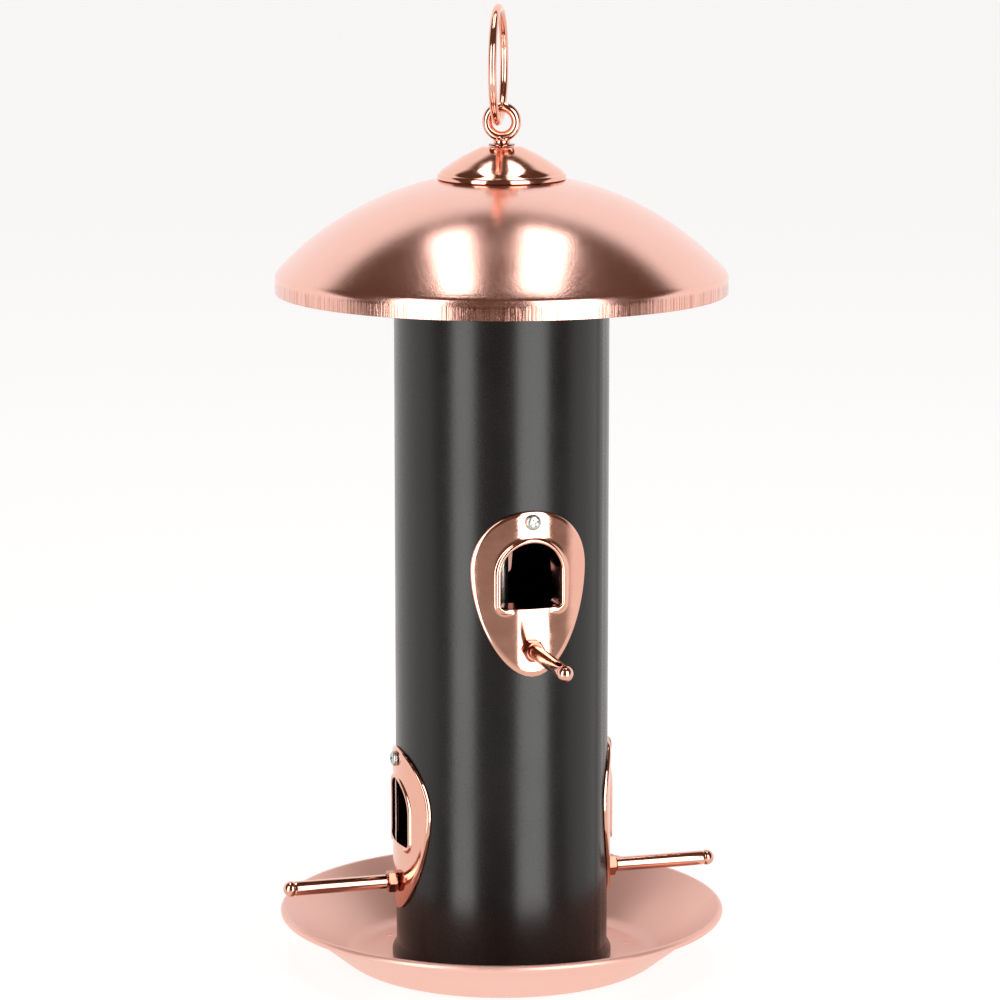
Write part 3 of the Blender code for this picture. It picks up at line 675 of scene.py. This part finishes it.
def screw_mesh(seat, end):
    """Pan head screw along +Z with a cross recess and a threaded shank."""
    top = seat + SCREW_HEAD_HEIGHT
    head = [(0, top)]
    for i in range(1, 9):
        a = math.pi / 2 * i / 8
        head.append((SCREW_HEAD_RADIUS * math.sin(a) ** 0.8,
                     seat + SCREW_HEAD_HEIGHT * math.cos(a) ** 0.62))
    outline = head + [(SCREW_HEAD_RADIUS - 0.0001, seat), (SCREW_RADIUS, seat)]
    outline += thread(SCREW_RADIUS, end, seat - 0.0003, 0.0005, 0.0002) + [(0, end)]
    body = revolve("screw", outline, 48)
    arm, width = 0.00155, 0.00034
    deep = seat + 0.35 * SCREW_HEAD_HEIGHT
    slot = [(-arm, -width), (arm, -width), (arm, width), (-arm, width)]
    slots = [moved(extruded("slot", slot, deep, top + 0.001), Matrix.Rotation(turn, 4, "Z"))
             for turn in (math.radians(24), math.radians(114))]
    return combined(body, [("DIFFERENCE", tool) for tool in slots])


def perch_mesh(tip_end, shoulder, shank_end):
    """Perch rod along +Z: crimped round tip, polished rod, shoulder and threaded shank."""
    tip = PERCH_TIP_RADIUS
    centre = tip_end - tip
    outline = [(0, tip_end)] + [(tip * math.sin(a), centre + tip * math.cos(a)) for a in
                                [math.pi / 2 * i / 12 for i in range(1, 13)]]
    outline += [(tip, centre - 0.0005), (PERCH_RADIUS - 0.0002, centre - 0.0011),
                (PERCH_RADIUS - 0.0001, centre - 0.0014), (PERCH_RADIUS, centre - 0.0020)]
    outline += [(PERCH_RADIUS, shoulder + (centre - shoulder) * s) for s in (0.7, 0.35)]
    outline += [(PERCH_RADIUS, shoulder + 0.0003), (PERCH_RADIUS - 0.0003, shoulder),
                (PERCH_SHANK, shoulder)]
    outline += thread(PERCH_SHANK, shank_end, shoulder - 0.0002, 0.0007, 0.00025)
    return revolve("perch", outline + [(0, shank_end)], 48)


def build_ports():
    upright = Matrix.Rotation(math.pi / 2, 4, "X")
    height = perch_height("front")

    def reach(node):
        """Nearest and furthest of a front node from the tube's axis."""
        low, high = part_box(node + "_front")
        return -high.y, -low.y

    near, far = reach("perch")
    nut = reach("perch_nut")
    inner = reach("perch_inner_nut")
    screw = reach("port_screw")
    screw_nut = reach("port_screw_nut")
    seat = screw[1] - SCREW_HEAD_HEIGHT
    lifted = Matrix.Translation((0, 0, SCREW_HEIGHT)) @ upright
    pieces = (
        ("port_plate", plate_mesh(), "bright"),
        # The duct and the outer perch nut take the deep look: painted shade, a darker copy of the
        # polished copper.
        ("seed_baffle", baffle_mesh(), "deep"),
        ("perch", moved(perch_mesh(far, nut[1] + GAP, near), upright), "bright"),
        ("perch_nut", moved(hexagon(M4_FLATS, *nut, PERCH_SHANK + GAP), upright), "deep"),
        ("perch_inner_nut", moved(hexagon(M4_FLATS, *inner, PERCH_SHANK + GAP), upright), "zinc"),
        ("port_screw", moved(screw_mesh(seat, screw[0]), lifted), "zinc"),
        ("port_screw_nut", moved(hexagon(M3_FLATS, *screw_nut, SCREW_RADIUS + GAP), lifted),
         "zinc"),
    )
    for side, turn in SIDES:
        place = Matrix.Rotation(math.radians(turn), 4, "Z") @ Matrix.Translation(
            (0, 0, perch_height(side)))
        for name, mesh, look in pieces:
            add_piece(f"{name}_{side}_skin", moved(mesh, place), look, "feeder",
                      f"{name}_{side}")


def build_tie_rod():
    low, high = (corner.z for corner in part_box("tie_rod"))
    outline = [(0, high), (ROD_RADIUS - 0.0006, high)]
    outline += thread(ROD_RADIUS, high - 0.014, high - 0.0004, 0.0008, 0.0003)
    outline += [(ROD_RADIUS - 0.0001, high - 0.0145), (ROD_RADIUS - 0.0001, low + 0.0190)]
    outline += thread(ROD_RADIUS, low + 0.0004, low + 0.0185, 0.0008, 0.0003)
    outline += [(ROD_RADIUS - 0.0006, low), (0, low)]
    add_piece("tie_rod_threaded", revolve("tie_rod", outline, 32), "zinc", "feeder", "tie_rod")
    for name in ("rod_nut", "base_nut", "coupling_nut"):
        bottom, top = (corner.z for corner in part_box(name))
        add_piece(name + "_hex", hexagon(M5_FLATS, bottom, top, ROD_RADIUS + GAP), "zinc",
                  "feeder", name)
    for name, body, bore, look in (("rod_washer", "feeder", ROD_RADIUS + GAP, "zinc"),
                                   ("base_washer", "feeder", ROD_RADIUS + GAP, "zinc"),
                                   # The eye washer takes the deep look too: copper darkened as
                                   # painted shade.
                                   ("eye_washer", "eye_seal", SHANK_RADIUS + GAP, "deep")):
        lowest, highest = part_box(name)
        middle = (lowest.z + highest.z) / 2
        line = [(bore, middle), (highest.x, middle)]
        add_piece(name + "_disc", revolve(name, sheet_section(line, highest.z - lowest.z), 64),
                  look, body, name)


# ---------------------------------------------------------------- eye bolt and ring
def torus(major, minor, around, section, lift=None):
    outline = [(major + minor * math.cos(2 * math.pi * i / section),
                minor * math.sin(2 * math.pi * i / section)) for i in range(section)]
    return revolve("wire_ring", outline, around, lift)


def build_eye():
    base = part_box("eye_washer")[1].z + GAP
    centre = EYE_HIGH.z - EYE_RADIUS
    loop = moved(torus(EYE_RADIUS - EYE_WIRE, EYE_WIRE, 96, 28), Matrix.Translation(
        (0, 0, centre)) @ Matrix.Rotation(EYE_YAW, 4, "Z") @ Matrix.Rotation(math.pi / 2, 4, "X"))
    neck = centre - EYE_RADIUS
    outline = [(0, neck + 1.5 * EYE_WIRE), (0.9 * EYE_WIRE, neck + 1.4 * EYE_WIRE),
               (1.12 * EYE_WIRE, neck + 0.8 * EYE_WIRE), (SHANK_RADIUS, base + 0.0012)]
    outline += [(0.0029, base + 0.0010), (0.0030, base + 0.0008), (0.0030, base + 0.0001),
                (0.0029, base), (SHANK_RADIUS, base)]
    outline += thread(SHANK_RADIUS, EYE_LOW.z + 0.0003, base - 0.0003, 0.0008, 0.0003)
    outline += [(SHANK_RADIUS - 0.0005, EYE_LOW.z), (0, EYE_LOW.z)]
    mesh = combined(loop, [("UNION", revolve("eye_shank", outline, 48))])
    add_piece("eye_bolt_forged", mesh, "bright", "eye", "eye_bolt")

    outer = (RING_HIGH.z - RING_LOW.z) / 2
    major = outer - RING_WIRE

    def butt_joint(angle, radius, height):
        """The closed gap where the ring's wire ends meet."""
        off = abs((angle - math.radians(120) + math.pi) % (2 * math.pi) - math.pi)
        groove = max(0.0, 1 - off * major / 0.00035) * 0.00012
        return -groove if radius > major else groove

    ring = torus(major, RING_WIRE, 288, 28, butt_joint)
    stand = Matrix.Translation((RING_HIGH + RING_LOW) / 2) @ Matrix.Rotation(
        EYE_YAW, 4, "Z") @ Matrix.Rotation(math.pi / 2, 4, "Y")
    add_piece("ring_wire", moved(ring, stand), "bright", "ring", "hanging_ring")


# ---------------------------------------------------------------- studio
def aimed(obj, target):
    obj.rotation_euler = (Vector(target) - obj.location).to_track_quat("-Z", "Y").to_euler()


def round_camera(turn, distance, height):
    """A place round the feeder, its turn counted from the camera's own side to its right."""
    a = CAMERA_TURN + turn
    return Vector((distance * math.sin(a), -distance * math.cos(a), height))


def box_light(name, wide, long):
    """A box light, as bright all over as the others."""
    light = bpy.data.lights.new(name, "AREA")
    light.shape = "RECTANGLE"
    light.size, light.size_y = wide, long
    light.energy = BOX_RADIANCE * math.pi * wide * long
    box = bpy.data.objects.new(name, light)
    bpy.context.scene.collection.objects.link(box)
    return box


def add_softbox(name, turn, distance, height, wide, tall):
    """A box light that stands round the feeder and faces it squarely."""
    box = box_light(name, wide, tall)
    box.location = round_camera(math.radians(turn), distance, height)
    aimed(box, (0, 0, height))


def add_overhead(name, aside, back, height, wide, long):
    """A box light over the feeder that faces down, placed from the camera's point of view."""
    box = box_light(name, wide, long)
    right = Vector((math.cos(CAMERA_TURN), math.sin(CAMERA_TURN), 0))
    away = Vector((-math.sin(CAMERA_TURN), math.cos(CAMERA_TURN), 0))
    box.location = right * aside + away * back + Vector((0, 0, height))
    box.rotation_euler = (0, 0, CAMERA_TURN)


def stage_piece(name, mesh, colour, glow):
    """Pale paper round the object. It stays out of reflections, which the world gives instead."""
    nodes = Nodes(name + "_paper")
    nodes.shader.inputs["Emission Color"].default_value = (1, 1, 1, 1)
    nodes.shader.inputs["Emission Strength"].default_value = glow
    grain = nodes.noise(nodes.place(), 60.0, 2.0, 0.5)
    tone = nodes.blend(grain, (colour, colour, colour, 1), (*[colour * 0.98] * 3, 1))
    mesh.materials.append(nodes.finish(tone, 0.7, None, metallic=0.0))
    piece = bpy.data.objects.new(name, mesh)
    bpy.context.scene.collection.objects.link(piece)
    piece.visible_glossy = False
    piece.visible_shadow = False
    return piece


def build_stage():
    outline = arc((0, 0), FLOOR_RADIUS, 0, 2 * math.pi * 95 / 96, 96)
    ground = TRAY_LOW.z - 0.00005
    stage_piece("floor", extruded("floor", outline, ground - 0.02, ground), 0.35, 0.75)
    reach = FLOOR_RADIUS - 0.5
    shell = revolve("backdrop", arc((0, 0), reach, math.radians(-30), math.pi / 2, 25), 64)
    backdrop = stage_piece("backdrop", shell, 0.0, 0.985)
    backdrop.visible_diffuse = False
    backdrop.visible_transmission = False


def build_world():
    """A pale sweep behind and below the feeder; a dark studio in front of it and above."""
    world = bpy.data.worlds.new("studio")
    bpy.context.scene.world = world
    world.use_nodes = True
    tree = world.node_tree
    away = (-math.sin(CAMERA_TURN), math.cos(CAMERA_TURN), SWEEP_LEAN)
    dot = tree.nodes.new("ShaderNodeVectorMath")
    dot.operation = "DOT_PRODUCT"
    dot.inputs[1].default_value = away
    coordinates = tree.nodes.new("ShaderNodeTexCoord")
    tree.links.new(coordinates.outputs["Generated"], dot.inputs[0])
    ramp = tree.nodes.new("ShaderNodeMapRange")
    ramp.interpolation_type = "SMOOTHSTEP"
    ramp.inputs["From Min"].default_value = SWEEP_EDGE - SWEEP_BLUR
    ramp.inputs["From Max"].default_value = SWEEP_EDGE + SWEEP_BLUR
    tree.links.new(dot.outputs["Value"], ramp.inputs["Value"])
    mix = tree.nodes.new("ShaderNodeMix")
    mix.data_type = "RGBA"
    tree.links.new(ramp.outputs["Result"], mix.inputs[0])
    mix.inputs[6].default_value = STUDIO_DARK
    mix.inputs[7].default_value = SWEEP_PALE
    height = tree.nodes.new("ShaderNodeSeparateXYZ")
    tree.links.new(coordinates.outputs["Generated"], height.inputs[0])
    floor = tree.nodes.new("ShaderNodeMapRange")
    floor.inputs["From Min"].default_value, floor.inputs["From Max"].default_value = -0.10, -0.45
    tree.links.new(height.outputs["Z"], floor.inputs["Value"])
    shade = tree.nodes.new("ShaderNodeMix")
    shade.data_type = "RGBA"
    tree.links.new(floor.outputs["Result"], shade.inputs[0])
    tree.links.new(mix.outputs[2], shade.inputs[6])
    shade.inputs[7].default_value = FLOOR_TONE
    tree.links.new(shade.outputs[2], tree.nodes["Background"].inputs["Color"])


def build_camera():
    data = bpy.data.cameras.new("camera")
    data.lens = LENS
    data.sensor_width = 36.0
    data.clip_start, data.clip_end = 0.05, 50.0
    camera = bpy.data.objects.new("camera", data)
    bpy.context.scene.collection.objects.link(camera)
    place = round_camera(0, CAMERA_DISTANCE, CAMERA_HEIGHT)
    right = Vector((math.cos(CAMERA_TURN), math.sin(CAMERA_TURN), 0))
    camera.location = place + right * CAMERA_ASIDE
    camera.rotation_euler = (math.pi / 2 - CAMERA_PITCH, 0, CAMERA_TURN)
    bpy.context.scene.camera = camera


bpy.context.scene.view_settings.view_transform = "Standard"
build_camera()
build_stage()
build_world()
add_softbox("softbox_left", -41, 1.3, 0.45, 0.56, 1.7)
add_softbox("softbox_right", 33, 1.3, 0.45, 0.76, 1.7)
add_overhead("overhead_left", -0.37, 0.20, 1.80, 0.28, 1.0)
add_overhead("overhead_right", 0.32, 0.20, 1.80, 0.33, 1.0)
build_roof()
build_tray()
build_tube()
build_ports()
build_tie_rod()
build_eye()
